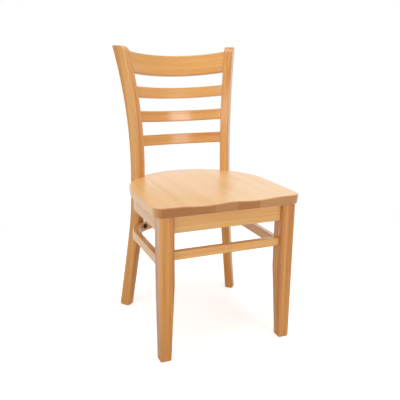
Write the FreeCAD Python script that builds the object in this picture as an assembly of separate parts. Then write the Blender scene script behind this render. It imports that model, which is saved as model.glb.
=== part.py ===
import FreeCAD, Part
import math
import os

# Ladderback chair in clear-lacquered beech. Millimetres, +Z up, the chair faces -Y.
# While the pieces are made, x = 0 is the middle of the chair, y = 0 the front face of the front
# legs and z = 0 the floor. At the end all pieces move together, so that the origin is the middle
# of the chair's footprint box on the floor.

V = FreeCAD.Vector

# Fits: how far a tenon, screw or let-in piece stands off its hole or notch
glue_gap = 0.15
notch_gap = 0.25

# Seat: a glued-up panel, square in front and half round behind, saddled on top
seat_height = 456.0
seat_thickness = 28.0
seat_width = 444.0
seat_depth = 440.0
seat_overhang = 9.0
seat_corner_radius = 28.0
seat_undercut = 2.0
seat_edge_upright = 1.0
seat_top_rounding = 3.0
seat_under_rounding = 2.5
bowl_depth = 4.0
bowl_half_width = 178.0
bowl_half_length = 170.0
bowl_rim = 130.0
thigh_dip_depth = 4.5
thigh_dip_spacing = 150.0
thigh_dip_half_width = 55.0
thigh_dip_length = 190.0
saddle_rise = 0.4

# Front legs: square above, tapered on the two inner faces below
leg_span = 414.6
leg_size = 42.8
leg_foot_size = 32.0
leg_taper_height = 230.0
leg_edge_rounding = 2.5
foot_chamfer = 3.0

# Straight front pieces
apron_height = 50.0
apron_thickness = 20.0
apron_recess = 9.0
stretcher_top = 324.5
stretcher_height = 24.5
stretcher_thickness = 18.0
stretcher_recess = 11.0
rail_edge_rounding = 2.0
tenon_length = 17.0
apron_tenon_thickness = 9.0
stretcher_tenon_thickness = 8.0
tenon_shoulder = 5.0

# Bent pieces: one strip each, from one front leg round the back to the other
seat_rail_span = 400.0
seat_rail_height = 52.5
seat_rail_thickness = 20.0
seat_rail_edge_rounding = 1.5
hoop_span = 404.0
hoop_top = 305.0
hoop_height = 29.0
hoop_thickness = 19.0
hoop_edge_rounding = 3.0

# Rear posts: boards turned about the vertical, floor to top in one piece
post_top = 867.0
post_turn = 36.0
post_thickness = 28.5
post_depth_foot = 35.5
post_depth_seat = 38.0
post_depth_top = 43.5
post_half_spacing = 156.0
post_setback = 375.0
post_bend_low = 270.0
post_straight_low = 391.0
post_straight_high = 465.0
leg_bend_radius = 890.0
back_bend_radius = 1230.0
post_splay = 24.0
post_splay_height = 800.0
post_edge_rounding = 3.5
post_top_rounding = 27.0
post_top_chamfer = 2.5
housing_depth = 2.0

# Back rails: arcs that meet the posts square
slat_height = 35.0
slat_thickness = 14.0
slat_gap = 42.5
lowest_slat_bottom = 554.5
slat_tilts = [8.0, 10.0, 12.5]
slat_edge_rounding = 3.0
crest_height = 67.0
crest_thickness = 19.0
crest_gap = 41.5
crest_tilt = 16.5
crest_edge_rounding = 4.0
back_rail_setback = 4.0
slat_tenon = 13.0

# Hidden blocks and screws
block_height = 30.0
block_reach = 74.0
block_thickness = 24.0
rear_block_width = 120.0
rear_block_thickness = 22.0
screw_head_diameter = 9.0
screw_head_length = 3.6
screw_diameter = 4.5
hole_mouth = 2.0
post_screw_length = 44.0
post_screw_spacing = 26.0
hoop_screw_length = 48.0
hoop_screw_head_diameter = 16.0
hoop_screw_head_thickness = 7.0
hoop_screw_head_bevel = 3.0
hoop_screw_head_let_in = 0.8
hoop_screw_diameter = 6.0
hoop_screw_rise = 3.0
block_screw_length = 36.0
block_screw_sunk = 6.0
block_screw_share = 0.3
pocket_gap = 0.5
seat_screw_length = 42.0

# How finely the lofted and saddled surfaces are described, and how far waste reaches past a piece
section_spacing = 75.0
saddle_grid_step = 18.0
saddle_grid_margin = 12.0
waste_reach = 20.0

# Places that follow from the sizes
seat_under = seat_height - seat_thickness
seat_front = -seat_overhang
seat_half = seat_width / 2
seat_arc_centre = seat_front + seat_depth - seat_half
leg_outer = leg_span / 2
leg_inner = leg_outer - leg_size
turn = math.radians(post_turn)
board_way = V(math.sin(turn), math.cos(turn), 0)
across_way = V(-math.cos(turn), math.sin(turn), 0)


def polygon_face(points, z):
    corners = [V(x, y, z) for x, y in points]
    return Part.Face(Part.makePolygon(corners + [corners[0]]))


def block(low, high):
    size = V(*high) - V(*low)
    return Part.makeBox(size.x, size.y, size.z, V(*low))


def mirrored(shape):
    return shape.mirror(V(0, 0, 0), V(1, 0, 0))


def arc_edge(centre, radius, start, end, z):
    """Arc about centre in the plane at height z, angles in radians from +x."""
    def at(angle):
        return V(centre[0] + radius * math.cos(angle), centre[1] + radius * math.sin(angle), z)
    return Part.Arc(at(start), at((start + end) / 2), at(end)).toShape()


def joined(edges):
    """Closed wire through the edges in order, with a straight edge over any gap."""
    chain = []
    for edge, following in zip(edges, edges[1:] + edges[:1]):
        chain.append(edge)
        end = edge.lastVertex(True).Point
        start = following.firstVertex(True).Point
        if end.distanceToPoint(start) > 1e-6:
            chain.append(Part.LineSegment(end, start).toShape())
    return Part.Wire(chain)


def rounded_quad(corners, radius, z):
    """Wire round four corners given in order, each corner turned on the radius."""
    edges = []
    for index, corner in enumerate(corners):
        before = corners[index - 1]
        after = corners[(index + 1) % 4]
        to_before = (before - corner).normalize()
        to_after = (after - corner).normalize()
        half = to_before.getAngle(to_after) / 2
        run = radius / math.tan(half)
        centre = corner + (to_before + to_after).normalize() * (radius / math.sin(half))
        middle = centre + (corner - centre).normalize() * radius
        points = [corner + to_before * run, middle, corner + to_after * run]
        flat = [V(p.x, p.y, z) for p in points]
        edges.append(Part.Arc(*flat).toShape())
    return joined(edges)


def edges_at(shape, heights, tolerance=1e-4):
    """Edges that lie wholly in one of the horizontal planes."""
    found = []
    for edge in shape.Edges:
        box = edge.BoundBox
        for z in heights:
            if abs(box.ZMin - z) < tolerance and abs(box.ZMax - z) < tolerance:
                found.append(edge)
    return found


# Rear posts. s runs along the board, forward to back; n runs across it, outer face to inner.

def post_rear(z):
    """Distance s of the post's rear edge: raked leg, bend, upright at the seat, bend, back."""
    seat_centre = board_way.dot(V(post_half_spacing, post_setback, 0))
    upright = seat_centre + post_depth_seat / 2
    if z > post_straight_high:
        return upright + (z - post_straight_high) ** 2 / (2 * back_bend_radius)
    if z > post_straight_low:
        return upright
    if z > post_bend_low:
        return upright + (post_straight_low - z) ** 2 / (2 * leg_bend_radius)
    run = post_straight_low - post_bend_low
    slope = run / leg_bend_radius
    return upright + run * slope / 2 + (post_bend_low - z) * slope


def post_depth(z):
    if z < post_straight_high:
        share = z / post_straight_high
        return post_depth_foot + (post_depth_seat - post_depth_foot) * share
    share = (z - post_straight_high) / (post_top - post_straight_high)
    return post_depth_seat + (post_depth_top - post_depth_seat) * share


def post_front(z):
    return post_rear(z) - post_depth(z)


def splay(z):
    """How far the post stands outward of its top, easing to nothing at the splay height."""
    if z > post_splay_height:
        return 0.0
    return post_splay * (1 - z / post_splay_height) ** 2


def post_outer(z):
    seat_middle = across_way.dot(V(post_half_spacing, post_setback, 0))
    return seat_middle - post_thickness / 2 + splay(post_straight_high) - splay(z)


def on_post(s, n, z):
    return board_way * s + across_way * n + V(0, 0, z)


def post_section(z, grow=0.0):
    front = post_front(z) - grow
    rear = post_rear(z) + grow
    outer = post_outer(z) - grow
    inner = post_outer(z) + post_thickness + grow
    corners = [on_post(front, outer, z), on_post(rear, outer, z)]
    corners += [on_post(rear, inner, z), on_post(front, inner, z)]
    return rounded_quad(corners, post_edge_rounding, z)


def post_heights(low, high):
    """Heights of the sections: both ends and the places where the bends start or stop."""
    kinks = [post_bend_low, post_straight_low, post_straight_high]
    spans = [low] + [z for z in kinks if low < z < high] + [high]
    heights = [low]
    for start, end in zip(spans, spans[1:]):
        steps = max(1, round((end - start) / section_spacing))
        heights += [start + (end - start) * k / steps for k in range(1, steps + 1)]
    return heights


def post_body(grow=0.0):
    """Right-hand post before it is cut for the rails, with its foot and top chamfered."""
    low = foot_chamfer
    high = post_top - post_top_chamfer
    body = Part.makeLoft([post_section(z, grow) for z in post_heights(low, high)], True)
    foot = [post_section(0, grow - foot_chamfer), post_section(low, grow)]
    top = [post_section(high, grow), post_section(post_top, grow - post_top_chamfer)]
    body = body.fuse([Part.makeLoft(foot, True, True), Part.makeLoft(top, True, True)])
    return body.cut(post_top_waste())


def post_top_waste():
    """What is cut away to round the post's upper front corner."""
    radius = post_top_rounding
    start = post_top - radius
    front = post_front(start)
    n = post_outer(post_top) - waste_reach
    near = on_post(front - waste_reach, n, start)
    low = on_post(front, n, start)
    slant = radius * math.sqrt(0.5)
    bend = on_post(front + radius - slant, n, start + slant)
    high = on_post(front + radius, n, post_top)
    over = on_post(front + radius, n, post_top + waste_reach)
    away = on_post(front - waste_reach, n, post_top + waste_reach)
    edges = [Part.LineSegment(near, low).toShape(), Part.Arc(low, bend, high).toShape()]
    edges.append(Part.LineSegment(over, away).toShape())
    return Part.Face(joined(edges)).extrude(across_way * (post_thickness + 2 * waste_reach))


# Bent seat rail and bent stretcher

class Bend:
    """Plan of a strip that leaves the front legs straight back, turns, meets the post square
    at the middle of the post's front edge, and crosses behind on one flatter arc."""

    def __init__(self, half_width, middle_height):
        s = post_front(middle_height) + housing_depth
        n = post_outer(middle_height) + post_thickness / 2
        self.meet = on_post(s, n, 0)
        self.half_width = half_width
        self.radius = (half_width - self.meet.x) / (1 - math.sin(turn))
        self.turn_centre = (half_width - self.radius, self.meet.y - self.radius * math.cos(turn))
        self.rear_radius = self.meet.x / math.sin(turn)
        self.rear_centre = (0.0, self.meet.y - self.rear_radius * math.cos(turn))

    def line(self, inset, front, z):
        """Edges of the strip's plan at a distance inside its outer face, right leg to left."""
        half = self.half_width - inset
        corner = math.pi / 2 - turn
        centre = self.turn_centre
        edges = [Part.LineSegment(V(half, front, z), V(half, centre[1], z)).toShape()]
        edges.append(arc_edge(centre, self.radius - inset, 0, corner, z))
        edges.append(arc_edge(self.rear_centre, self.rear_radius - inset, corner, math.pi - corner, z))
        left = (-centre[0], centre[1])
        edges.append(arc_edge(left, self.radius - inset, math.pi - corner, math.pi, z))
        edges.append(Part.LineSegment(V(-half, centre[1], z), V(-half, front, z)).toShape())
        return edges

    def strip(self, thickness, front, low, high, outset=0.0):
        outer = self.line(-outset, front, low)
        inner = self.line(thickness, front, low)
        back = []
        for edge in reversed(inner):
            flipped = edge.copy()
            flipped.reverse()
            back.append(flipped)
        start = Part.LineSegment(outer[-1].lastVertex(True).Point, back[0].firstVertex(True).Point)
        end = Part.LineSegment(back[-1].lastVertex(True).Point, outer[0].firstVertex(True).Point)
        wire = Part.Wire(outer + [start.toShape()] + back + [end.toShape()])
        return Part.Face(wire).extrude(V(0, 0, high - low))

    def notch(self, low, high):
        """Waste cut from the posts where the strip is let in."""
        return self.strip(self.radius / 2, leg_size, low - glue_gap, high + glue_gap, glue_gap)


seat_rail_low = seat_under - seat_rail_height
hoop_low = hoop_top - hoop_height
seat_rail_plan = Bend(seat_rail_span / 2, seat_under - seat_rail_height / 2)
hoop_plan = Bend(hoop_span / 2, hoop_top - hoop_height / 2)


def end_tenon(half_width, thickness, tenon_thickness, low, high, grow=0.0):
    """Tenon on the right-hand front end of a bent strip, into the rear of the front leg."""
    middle = half_width - thickness / 2
    side = tenon_thickness / 2 + grow
    front = (middle - side, leg_size - tenon_length - grow, low + tenon_shoulder - grow)
    back = (middle + side, leg_size + 2, high - tenon_shoulder + grow)
    return block(front, back)


def seat_rail_tenon(grow=0.0):
    half = seat_rail_plan.half_width
    return end_tenon(half, seat_rail_thickness, apron_tenon_thickness, seat_rail_low, seat_under, grow)


def hoop_tenon(grow=0.0):
    half = hoop_plan.half_width
    return end_tenon(half, hoop_thickness, stretcher_tenon_thickness, hoop_low, hoop_top, grow)


def side_tenon(recess, thickness, tenon_thickness, low, high, grow=0.0):
    """Tenon on the right-hand end of a straight front piece, into the side of the front leg."""
    middle = recess + thickness / 2
    side = tenon_thickness / 2 + grow
    near = (leg_inner - 2, middle - side, low + tenon_shoulder - grow)
    far = (leg_inner + tenon_length + grow, middle + side, high - tenon_shoulder + grow)
    return block(near, far)


def apron_tenon(grow=0.0):
    low = seat_under - apron_height
    return side_tenon(apron_recess, apron_thickness, apron_tenon_thickness, low, seat_under, grow)


def stretcher_tenon(grow=0.0):
    low = stretcher_top - stretcher_height
    recess = stretcher_recess
    return side_tenon(recess, stretcher_thickness, stretcher_tenon_thickness, low, stretcher_top, grow)


def bent_piece(plan, thickness, low, high, tenon, rounding):
    strip = plan.strip(thickness, leg_size, low, high)
    strip = strip.makeFillet(rounding, edges_at(strip, [low, high]))
    return strip.fuse([tenon, mirrored(tenon)]).removeSplitter()


def straight_piece(recess, thickness, low, high, tenon):
    bar = block((-leg_inner, recess, low), (leg_inner, recess + thickness, high))
    long_edges = [e for e in bar.Edges if e.BoundBox.XLength > leg_inner]
    bar = bar.makeFillet(rail_edge_rounding, long_edges)
    return bar.fuse([tenon, mirrored(tenon)]).removeSplitter()


# Front legs

def leg_section(size, z, shrink=0.0):
    """Square against the leg's outer front corner, drawn smaller by shrink all round."""
    left = leg_outer - size + shrink
    right = leg_outer - shrink
    front = shrink
    rear = size - shrink
    corners = [V(right, front, z), V(right, rear, z), V(left, rear, z), V(left, front, z)]
    return rounded_quad(corners, leg_edge_rounding, z)


def front_leg():
    foot = leg_foot_size + (leg_size - leg_foot_size) * foot_chamfer / leg_taper_height
    sections = [leg_section(leg_foot_size, 0, foot_chamfer), leg_section(foot, foot_chamfer)]
    sections += [leg_section(leg_size, leg_taper_height), leg_section(leg_size, seat_under)]
    leg = Part.makeLoft(sections, True, True)
    mortises = [apron_tenon(glue_gap), stretcher_tenon(glue_gap)]
    mortises += [seat_rail_tenon(glue_gap), hoop_tenon(glue_gap)]
    return leg.cut(mortises)


# Back rails

class BackRail:
    """Crest or slat: part of a ring, tilted back, whose front face meets the post's inner face
    a little behind the post's front edge and square to it."""

    def __init__(self, low, height, thickness, tilt, rounding):
        self.height = height
        self.thickness = thickness
        self.tilt = tilt
        self.rounding = rounding
        self.middle = low + height / 2
        s = post_front(self.middle) + back_rail_setback
        n = post_outer(self.middle) + post_thickness
        self.meet = on_post(s, n, self.middle)
        self.radius = self.meet.x / math.sin(turn)

    def solid(self, grow=0.0):
        """The rail lies along x with its middle height at z = 0 before it is tilted."""
        radius = self.radius
        centre = (0.0, -radius * math.cos(turn))
        reach = turn + (slat_tenon + grow) / radius
        half = self.height / 2 + grow
        start = math.pi / 2 - reach
        end = math.pi / 2 + reach
        outer = arc_edge(centre, radius + self.thickness + grow, start, end, -half)
        inner = arc_edge(centre, radius - grow, end, start, -half)
        rail = Part.Face(joined([outer, inner])).extrude(V(0, 0, 2 * half))
        rail = rail.makeFillet(self.rounding, [e for e in rail.Edges if e.Length > radius])
        rail.rotate(V(0, 0, 0), V(1, 0, 0), -self.tilt)
        rail.translate(V(0, self.meet.y, self.middle))
        return rail


def back_rails():
    """Back rails by name, from the lowest slat up to the crest."""
    names = ["back_slat_lower", "back_slat_middle", "back_slat_upper"]
    rails = {}
    low = lowest_slat_bottom
    for name, tilt in zip(names, slat_tilts):
        rails[name] = BackRail(low, slat_height, slat_thickness, tilt, slat_edge_rounding)
        low += slat_height + slat_gap
    low += crest_gap - slat_gap
    rails["crest_rail"] = BackRail(low, crest_height, crest_thickness, crest_tilt, crest_edge_rounding)
    return rails


# Seat

def seat_outline(inset, z):
    """Plan of the seat at a distance inside its widest line: front edge, two front corners,
    straight sides and a half circle behind."""
    half = seat_half - inset
    front = seat_front + inset
    corner = seat_corner_radius - inset
    right = (half - corner, front + corner)
    left = (-right[0], right[1])
    edges = [arc_edge(left, corner, math.pi, 1.5 * math.pi, z)]
    edges.append(arc_edge(right, corner, -0.5 * math.pi, 0, z))
    edges.append(arc_edge((0.0, seat_arc_centre), half, 0, math.pi, z))
    return joined(edges)


def saddle(x, y):
    """Depth of the hollow under the rim at x, y: a broad bowl for the sitter and two shallow
    dips for the thighs that run out over the front edge beside a raised middle."""
    across = x / bowl_half_width
    along = (y - seat_arc_centre) / bowl_half_length
    away = math.hypot(across, along)
    ease = min(1.0, max(0.0, (1 - away) * bowl_half_width / bowl_rim))
    ease = ease * ease * (3 - 2 * ease)
    beside = (abs(x) - thigh_dip_spacing / 2) / thigh_dip_half_width
    run = min(1.0, max(0.0, (y - seat_front) / thigh_dip_length))
    dip = thigh_dip_depth * math.exp(-beside * beside) * (1 - run * run * (3 - 2 * run))
    return bowl_depth * ease + dip * (1 - ease)


def saddle_waste():
    """Everything above the saddled surface, which is one smooth patch through a grid."""
    margin = saddle_grid_margin
    columns = int(round((seat_width + 2 * margin) / saddle_grid_step)) + 1
    rows = int(round((seat_depth + 2 * margin) / saddle_grid_step)) + 1
    grid = []
    for i in range(columns):
        x = -seat_half - margin + i * (seat_width + 2 * margin) / (columns - 1)
        line = []
        for j in range(rows):
            y = seat_front - margin + j * (seat_depth + 2 * margin) / (rows - 1)
            line.append(V(x, y, seat_height + saddle_rise - saddle(x, y)))
        grid.append(line)
    surface = Part.BSplineSurface()
    surface.interpolate(grid)
    return surface.toShape().extrude(V(0, 0, seat_thickness))


def seat_panel():
    widest = seat_height - seat_top_rounding - seat_edge_upright
    sections = [seat_outline(seat_undercut, seat_under), seat_outline(0, widest)]
    sections.append(seat_outline(0, seat_height))
    panel = Part.makeLoft(sections, True, True)
    panel = panel.makeFillet(seat_top_rounding, edges_at(panel, [seat_height]))
    panel = panel.makeFillet(seat_under_rounding, edges_at(panel, [seat_under]))
    panel = panel.cut(saddle_waste())
    grown = post_body(notch_gap)
    return panel.cut([grown, mirrored(grown)])


# Hidden blocks and screws

def corner_block():
    """Right front corner block: glued to the back of the apron and the inside of the rail, with
    its corner cut away round the leg."""
    apron_back = apron_recess + apron_thickness
    rail_inside = seat_rail_plan.half_width - seat_rail_thickness
    outer = leg_inner - notch_gap
    behind = leg_size + notch_gap
    corners = [(rail_inside - block_reach, apron_back), (outer, apron_back), (outer, behind)]
    corners += [(rail_inside, behind), (rail_inside, apron_back + block_reach)]
    corners += [(rail_inside - block_thickness / 2, apron_back + block_reach)]
    corners += [(rail_inside - block_reach, apron_back + block_thickness / 2)]
    return polygon_face(corners, seat_under - block_height).extrude(V(0, 0, block_height))


def rear_block():
    """Block on the inside of the bent rail at the middle of the back."""
    plan = seat_rail_plan
    centre = plan.rear_centre
    radius = plan.rear_radius - seat_rail_thickness
    half = math.asin(rear_block_width / 2 / radius)
    low = seat_under - block_height
    outer = arc_edge(centre, radius, math.pi / 2 - half, math.pi / 2 + half, low)
    flat = centre[1] + radius * math.cos(half) - rear_block_thickness
    ends = [V(-rear_block_width / 2, flat, low), V(rear_block_width / 2, flat, low)]
    inner = Part.LineSegment(ends[0], ends[1]).toShape()
    return Part.Face(joined([outer, inner])).extrude(V(0, 0, block_height))


def screw(head, way, length, grow=0.0):
    """Countersunk wood screw from the middle of its head's flat along way."""
    radius = screw_head_diameter / 2 + grow
    shank = screw_diameter / 2 + grow
    cone = Part.makeCone(radius, shank, screw_head_length, head, way)
    body = Part.makeCylinder(shank, length + grow - screw_head_length, head + way * screw_head_length, way)
    return cone.fuse(body).removeSplitter()


def screw_hole(head, way, length):
    """Room for a screw, with a round mouth where the surface curves up beside the head."""
    radius = screw_head_diameter / 2 + glue_gap
    mouth = Part.makeCylinder(radius, hole_mouth, head - way * hole_mouth, way)
    return screw(head, way, length, glue_gap).fuse(mouth)


def broad_screw(head, way, length, grow=0.0):
    """Screw with a broad bevelled head, from the middle of the head's face along way."""
    radius = hoop_screw_head_diameter / 2 + grow
    bevel = hoop_screw_head_bevel
    face = Part.makeCone(radius - bevel, radius, bevel, head, way)
    rim = Part.makeCylinder(radius, hoop_screw_head_thickness + grow - bevel, head + way * bevel, way)
    shank = Part.makeCylinder(hoop_screw_diameter / 2 + grow, length + grow, head, way)
    return face.fuse([rim, shank]).removeSplitter()


def broad_screw_hole(head, way, length):
    """Room for a broad screw."""
    return broad_screw(head, way, length, glue_gap)


def post_screw_places():
    """Heads on the inside of the seat rail, right post."""
    head = seat_rail_plan.meet - board_way * seat_rail_thickness
    middle = seat_under - seat_rail_height / 2
    return [V(head.x, head.y, middle + side * post_screw_spacing / 2) for side in (-1, 1)]


def hoop_screw_place():
    """Head on the inside of the bent stretcher, right post: it stands proud of the surface and is
    let in just so far that its rim meets the curved wood all round."""
    proud = hoop_screw_head_thickness - hoop_screw_head_let_in
    head = hoop_plan.meet - board_way * (hoop_thickness + proud)
    return V(head.x, head.y, hoop_top - hoop_height / 2 + hoop_screw_rise)


def block_screw_places():
    """Heads sunk below the slanted face of the right corner block, each with its way in."""
    apron_back = apron_recess + apron_thickness
    rail_inside = seat_rail_plan.half_width - seat_rail_thickness
    share = (block_reach - block_thickness / 2) * block_screw_share
    height = seat_under - block_height / 2
    deep = block_thickness / 2 + share - block_screw_sunk
    into_apron = V(rail_inside - block_reach + share, apron_back + deep, height)
    into_rail = V(rail_inside - deep, apron_back + block_reach - share, height)
    return [(into_apron, V(0, -1, 0)), (into_rail, V(1, 0, 0))]


def block_screw_pockets():
    """Round pockets from the slanted face of the right corner block down to the sunk heads."""
    radius = screw_head_diameter / 2 + pocket_gap
    reach = block_screw_sunk + 2 * radius
    pockets = []
    for head, way in block_screw_places():
        pockets.append(Part.makeCylinder(radius, reach, head - way * reach, way))
    return pockets


def seat_screw_places():
    """Heads on the undersides of the blocks, driven up into the seat."""
    low = seat_under - block_height
    rail_inside = seat_rail_plan.half_width - seat_rail_thickness
    apron_back = apron_recess + apron_thickness
    side = rail_inside - block_reach / 2 + block_thickness / 8
    front = apron_back + block_reach / 2 - block_thickness / 8
    plan = seat_rail_plan
    rear = plan.rear_centre[1] + plan.rear_radius - seat_rail_thickness - rear_block_thickness / 2
    across = rear_block_width / 4
    places = [(side, front), (-side, front), (across, rear), (-across, rear)]
    return [V(x, y, low) for x, y in places]


def both_sides(solids):
    return solids + [mirrored(solid) for solid in solids]


def screw_groups(made, broad_made):
    """Screws or their holes by name. made and broad_made are the functions that make one."""
    posts = [made(head, board_way, post_screw_length) for head in post_screw_places()]
    hoop = [broad_made(hoop_screw_place(), board_way, hoop_screw_length)]
    blocks = [made(head, way, block_screw_length) for head, way in block_screw_places()]
    seat = [made(head, V(0, 0, 1), seat_screw_length) for head in seat_screw_places()]
    groups = {"post_screws": both_sides(posts), "stretcher_screws": both_sides(hoop)}
    groups.update({"corner_block_screws": both_sides(blocks), "seat_screws": seat})
    return groups


def build():
    screws = screw_groups(screw, broad_screw)
    holes = screw_groups(screw_hole, broad_screw_hole)
    rails = back_rails()
    pieces = {}

    post = post_body().cut([rail.solid(glue_gap) for rail in rails.values()])
    post = post.cut([seat_rail_plan.notch(seat_rail_low, seat_under)])
    post = post.cut([hoop_plan.notch(hoop_low, hoop_top)])
    right_holes = holes["post_screws"][:2] + holes["stretcher_screws"][:1]
    post = post.cut(right_holes)
    pieces["rear_post_right"] = post
    pieces["rear_post_left"] = mirrored(post)

    leg = front_leg()
    pieces["front_leg_right"] = leg
    pieces["front_leg_left"] = mirrored(leg)

    for name, rail in rails.items():
        pieces[name] = rail.solid()

    pieces["seat"] = seat_panel().cut(holes["seat_screws"])

    low = seat_under - apron_height
    apron = straight_piece(apron_recess, apron_thickness, low, seat_under, apron_tenon())
    pieces["front_apron"] = apron.cut(holes["corner_block_screws"])

    low = stretcher_top - stretcher_height
    bar = straight_piece(stretcher_recess, stretcher_thickness, low, stretcher_top, stretcher_tenon())
    pieces["front_stretcher"] = bar

    rail = bent_piece(seat_rail_plan, seat_rail_thickness, seat_rail_low, seat_under,
                      seat_rail_tenon(), seat_rail_edge_rounding)
    pieces["bent_seat_rail"] = rail.cut(holes["post_screws"] + holes["corner_block_screws"])

    hoop = bent_piece(hoop_plan, hoop_thickness, hoop_low, hoop_top, hoop_tenon(), hoop_edge_rounding)
    pieces["bent_stretcher"] = hoop.cut(holes["stretcher_screws"])

    corner = corner_block().cut(block_screw_pockets())
    for name, side in (("corner_block_right", corner), ("corner_block_left", mirrored(corner))):
        pieces[name] = side.cut(holes["corner_block_screws"] + holes["seat_screws"])
    pieces["rear_seat_block"] = rear_block().cut(holes["seat_screws"])

    for name, group in screws.items():
        pieces[name] = Part.makeCompound(group)
    return pieces


def footprint_centre(pieces):
    """Middle of the box round all pieces, on the floor."""
    box = FreeCAD.BoundBox()
    for shape in pieces.values():
        box.add(shape.optimalBoundingBox(False, False))
    return V((box.XMin + box.XMax) / 2, (box.YMin + box.YMax) / 2, 0)


def main():
    os.makedirs("parts", exist_ok=True)
    pieces = build()
    origin = footprint_centre(pieces)
    print("chair front legs' front face is at y =", round(-origin.y, 3))
    for name, shape in pieces.items():
        shape.translate(-origin)
        shape.exportStep("parts/" + name + ".step")
        box = shape.BoundBox
        size = [round(v, 1) for v in (box.XLength, box.YLength, box.ZLength)]
        print(name, len(shape.Solids), "solids", shape.isValid(), round(shape.Volume), size)


main()
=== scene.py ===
import math

import bpy
import numpy as np
from bpy.props import FloatProperty, FloatVectorProperty, PointerProperty
from mathutils import Matrix, Vector


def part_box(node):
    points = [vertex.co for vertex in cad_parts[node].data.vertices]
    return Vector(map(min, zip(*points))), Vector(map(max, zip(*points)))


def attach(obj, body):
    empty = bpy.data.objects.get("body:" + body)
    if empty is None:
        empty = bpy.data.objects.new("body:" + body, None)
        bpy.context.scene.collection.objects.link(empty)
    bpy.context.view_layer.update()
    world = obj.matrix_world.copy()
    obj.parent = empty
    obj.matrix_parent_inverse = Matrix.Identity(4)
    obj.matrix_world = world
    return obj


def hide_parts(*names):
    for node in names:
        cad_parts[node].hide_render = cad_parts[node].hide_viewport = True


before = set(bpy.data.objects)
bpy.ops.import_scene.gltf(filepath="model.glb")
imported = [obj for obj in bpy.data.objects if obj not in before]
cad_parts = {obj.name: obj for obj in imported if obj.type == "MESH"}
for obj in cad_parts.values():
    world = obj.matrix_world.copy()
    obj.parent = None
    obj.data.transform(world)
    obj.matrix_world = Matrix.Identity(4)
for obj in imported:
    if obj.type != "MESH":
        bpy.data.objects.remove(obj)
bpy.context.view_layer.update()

bl_info = {
    "name": "Ladderback chair",
    "version": (1, 0, 0),
    "blender": (4, 5, 0),
    "location": "View3D > Sidebar > Chair",
    "description": "Beech dining chair with a ladder back, a saddled seat and bent rails",
    "category": "Add Mesh",
}

# The front faces of the front legs, from which all depths are measured, and the floor's height
leg_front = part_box("front_leg_right")[0].y
floor_height = 0.0

# How finely arcs are drawn, and how far from an arc the point that keeps a flat side flat stands
corner_steps = 5
hold = 0.0007
sharp_angle = math.radians(32)

# Each board's shade, below 0 for a darker and above 0 for a paler board, as chosen for this chair.
# The front legs' dark shade is partly their own tone and partly painted shade, for the weaker light
# low down by the floor. A board's place in this list also sets which part of the grain it shows
board_tones_and_painted_shade = {
    "seat": 0.02,
    "rear_post_right": -0.08,
    "rear_post_left": -0.08,
    # Front legs: darker partly as painted shade, standing in for the weaker light near the floor
    "front_leg_right": -0.15,
    "front_leg_left": -0.15,
    "back_slat_lower": -0.06,
    "back_slat_middle": -0.06,
    "back_slat_upper": -0.06,
    "crest_rail": -0.06,
    "front_apron": 0.02,
    "front_stretcher": 0.0,
    "bent_seat_rail": 0.0,
    "bent_stretcher": 0.08,
}
board_shift = np.array([0.83, 0.137, 0.071])


def linear(text):
    """Linear colour of an sRGB hex value: each channel through the sRGB curve."""
    channels = [int(text[start:start + 2], 16) / 255 for start in (1, 3, 5)]
    return [c / 12.92 if c <= 0.04045 else ((c + 0.055) / 1.055) ** 2.4 for c in channels]


def length(name, description, default):
    return FloatProperty(name=name, description=description, default=default, min=0.0, unit="LENGTH")


def angle(name, description, degrees):
    return FloatProperty(name=name, description=description, default=math.radians(degrees), subtype="ANGLE")


def colour(name, description, text):
    return FloatVectorProperty(name=name, description=description, default=linear(text), size=3,
                               min=0.0, max=1.0, subtype="COLOR")


class SeatSizes(bpy.types.PropertyGroup):
    height: length("Height", "Top of the seat's rim above the floor", 0.456)
    thickness: length("Thickness", "Thickness of the panel", 0.028)
    width: length("Width", "Width of the panel, and twice the radius of its round back", 0.444)
    depth: length("Depth", "Front edge to the back of the round part", 0.440)
    overhang: length("Overhang", "How far the front edge stands before the legs", 0.009)
    corner: length("Front corners", "Radius of the two front corners", 0.028)
    undercut: length("Undercut", "How far the edge leans in from its widest line down", 0.002)
    edge: length("Top edge", "Radius between the top and the edge", 0.003)
    under_edge: length("Lower edge", "Radius between the edge and the underside", 0.0025)
    bowl: length("Bowl", "Depth of the hollow for the sitter", 0.004)
    dip: length("Thigh dips", "Depth of the two dips at the front edge", 0.0045)


class LegSizes(bpy.types.PropertyGroup):
    span: length("Span", "Outer face to outer face of the front legs", 0.4146)
    size: length("Size", "Side of the square leg above its taper", 0.0428)
    foot: length("Foot", "Side of the square leg at the floor", 0.032)
    taper: length("Taper", "Height at which the two inner faces begin to taper", 0.230)
    edge: length("Edges", "Radius of the long edges", 0.0025)
    chamfer: length("Chamfer", "Chamfer round the feet", 0.003)


class PostSizes(bpy.types.PropertyGroup):
    top: length("Top", "Height of the posts", 0.867)
    turn: angle("Turn", "How far each post is turned about the vertical", 36.0)
    thickness: length("Thickness", "Thickness of the board", 0.0285)
    foot_depth: length("Depth at the foot", "Front edge to rear edge at the floor", 0.0355)
    seat_depth: length("Depth at the seat", "Front edge to rear edge at the seat", 0.038)
    top_depth: length("Depth at the top", "Front edge to rear edge at the top", 0.0435)
    half_spacing: length("Half spacing", "Middle of the chair to the post's middle at the seat", 0.156)
    setback: length("Setback", "Front of the legs to the post's middle at the seat", 0.375)
    leg_bend: length("Leg bend", "Radius of the bend between leg and seat", 0.890)
    back_bend: length("Back bend", "Radius of the bend of the back", 1.230)
    splay: length("Splay", "How far the posts stand outward at the foot", 0.024)
    edge: length("Edges", "Radius of the long edges", 0.0035)
    top_round: length("Top rounding", "Radius of the upper front corner", 0.027)
    top_edge: length("Top edge", "Softened edge round the top", 0.0025)


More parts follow.
